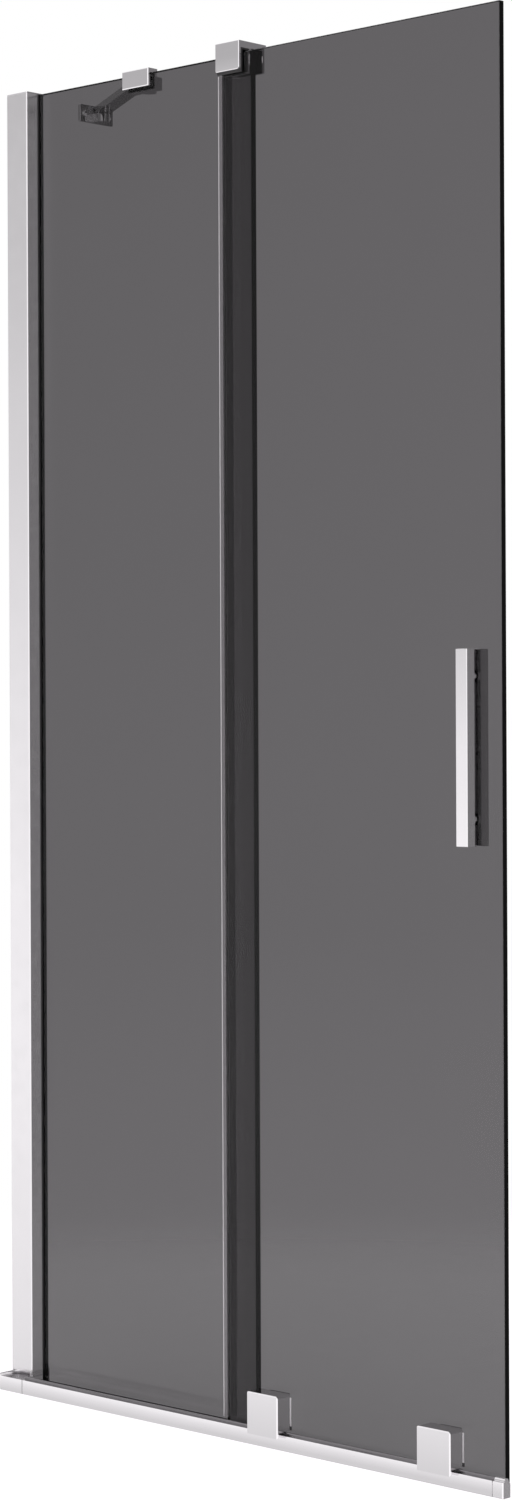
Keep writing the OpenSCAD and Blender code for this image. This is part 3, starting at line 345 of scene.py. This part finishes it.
def make_floor():
    """A pale disc, lit from within like a light table, that fades out at its edge."""
    points = [FLOOR_MIDDLE]
    faces = []
    for r in range(1, FLOOR_RINGS + 1):
        for a in range(FLOOR_SPOKES):
            turn = 2 * math.pi * a / FLOOR_SPOKES
            reach = FLOOR_RADIUS * r / FLOOR_RINGS
            step = Vector((reach * math.cos(turn), reach * math.sin(turn), 0.0))
            points.append(FLOOR_MIDDLE + step)
    for a in range(FLOOR_SPOKES):
        faces.append((0, 1 + a, 1 + (a + 1) % FLOOR_SPOKES))
    for r in range(FLOOR_RINGS - 1):
        for a in range(FLOOR_SPOKES):
            b = (a + 1) % FLOOR_SPOKES
            inner, outer = 1 + r * FLOOR_SPOKES, 1 + (r + 1) * FLOOR_SPOKES
            faces.append((inner + a, outer + a, outer + b, inner + b))
    mesh = bpy.data.meshes.new("floor")
    mesh.from_pydata(points, [], faces)
    floor = bpy.data.objects.new("floor", mesh)
    scene.collection.objects.link(floor)
    floor.visible_glossy = False

    made, t, place = material("floor")
    centred = t.add("VectorMath", {"operation": "SUBTRACT"}, in_0=place,
                    in_1=tuple(FLOOR_MIDDLE))
    reach = t.add("VectorMath", {"operation": "LENGTH"}, in_0=centred.outputs[0])
    fade = t.span(reach.outputs["Value"], *FLOOR_FADE)
    grain = t.noise(place, scale=30, detail=4)
    skin = t.add("BsdfDiffuse", Color=t.mottle(grain, 0.34, 0.36))
    through_glass = t.add("LightPath").outputs["Is Transmission Ray"]
    strength = t.span(through_glass, 0.0, 1.0, FLOOR_GLOW, FLOOR_GLOW_PAST_GLASS)
    glow = t.add("Emission", Color=GLOW_COLOUR, Strength=strength)
    solid = t.add("AddShader", in_0=skin.outputs[0], in_1=glow.outputs[0])
    gone = t.add("BsdfTransparent")
    mixed = t.add("MixShader", Fac=fade, in_1=solid.outputs[0], in_2=gone.outputs[0])
    surface(t, mixed)
    floor.data.materials.append(made)


# The world's values are half of what they give, because its strength is 2.
WORLD_STRENGTH = 2.0
PLAIN_WHITE = (0.5, 0.5, 0.5, 1)
DIM_SIDE = (0.101, 0.099, 0.101, 1)
ACROSS_BOX = (0.3, 0.3, 0.3, 1)
OVERHEAD_BOX = (0.49, 0.49, 0.49, 1)
LAMP_BOX = (0.57, 0.57, 0.57, 1)
LAMP_DIRECTION = (0.725, -0.688, 0.0)
LIGHT_TINT = (1.0, 0.98, 1.0)

# Where the room side and each box begins and where it is full, by how far a direction points
# along Y, along Y, up, and toward the lamp
ROOM_SIDE = (0.5, 0.1)
ACROSS = (0.87, 0.95)
OVERHEAD = (0.5, 0.64)
TOWARD_LAMP = (0.8, 0.92)

# Brightness of the room side, from straight down at 0 to straight up at 1
ROOM = [(0.0, 0.55), (0.2, 0.53), (0.3, 0.36), (0.36, 0.36), (0.40, 0.43), (0.44, 0.52),
        (0.49, 0.48), (0.55, 0.34), (0.60, 0.245), (0.70, 0.24), (1.0, 0.3)]

# The grey wall seen through the glass: where its foot ends, and its greys there and above
WALL_FOOT = (-0.2, -0.07)
WALL_GREYS = (0.288, 0.238)
WALL_TINT = (1.0, 0.97, 1.0)


def make_world():
    """A white room with soft boxes: one overhead, one behind the camera to its right, and a
    weak one straight across the bath, where the room is dim. The camera sees plain white, and a
    grey wall through the glass."""
    world = bpy.data.worlds.new("studio")
    scene.world = world
    world.use_nodes = True
    t = Tree(world.node_tree)
    direction = t.add("TexCoord").outputs["Generated"]
    parts = t.axes(direction)
    y, z = parts["Y"], parts["Z"]

    room = t.ramp(t.span(z, -1.0, 1.0, smooth=False), ROOM)
    lit = t.blend(t.span(y, *ROOM_SIDE), DIM_SIDE, room)
    lit = t.blend(t.span(y, *ACROSS), lit, ACROSS_BOX)
    lit = t.blend(t.span(z, *OVERHEAD), lit, OVERHEAD_BOX)
    toward_lamp = t.add("VectorMath", {"operation": "DOT_PRODUCT"}, in_0=direction,
                        in_1=LAMP_DIRECTION).outputs["Value"]
    lit = t.blend(t.span(toward_lamp, *TOWARD_LAMP), lit, LAMP_BOX)
    lit = t.filtered(lit, LIGHT_TINT)

    path = t.add("LightPath")
    wall = t.filtered(t.span(z, *WALL_FOOT, *WALL_GREYS, smooth=False), WALL_TINT)
    past_glass = t.blend(path.outputs["Is Transmission Ray"], lit, wall)
    seen = t.blend(path.outputs["Is Camera Ray"], past_glass, PLAIN_WHITE)
    sky = t.add("Background", Color=seen, Strength=WORLD_STRENGTH)
    t.add("OutputWorld", Surface=sky.outputs[0])


CAMERA_PLACE = (2.739, -2.455, 0.795)
CAMERA_TURN = math.radians(43.5)
CAMERA_ROLL = -0.0042
CAMERA_SENSOR, CAMERA_LENS = 36.0, 75.648
CAMERA_SHIFT = -0.03063


def make_camera():
    """The photograph's view: level, 43.5 degrees to the left of square on to the panes."""
    data = bpy.data.cameras.new("camera")
    data.sensor_fit = "AUTO"
    data.sensor_width = CAMERA_SENSOR
    data.lens = CAMERA_LENS
    data.shift_y = CAMERA_SHIFT
    data.clip_start, data.clip_end = 0.05, 50.0
    camera = bpy.data.objects.new("camera", data)
    scene.collection.objects.link(camera)
    level = Matrix.Rotation(CAMERA_TURN, 4, "Z") @ Matrix.Rotation(math.radians(90), 4, "X")
    camera.matrix_world = (Matrix.Translation(CAMERA_PLACE) @ level
                           @ Matrix.Rotation(CAMERA_ROLL, 4, "Z"))
    scene.camera = camera


make_floor()
make_world()
make_camera()
scene.view_settings.view_transform = "Standard"
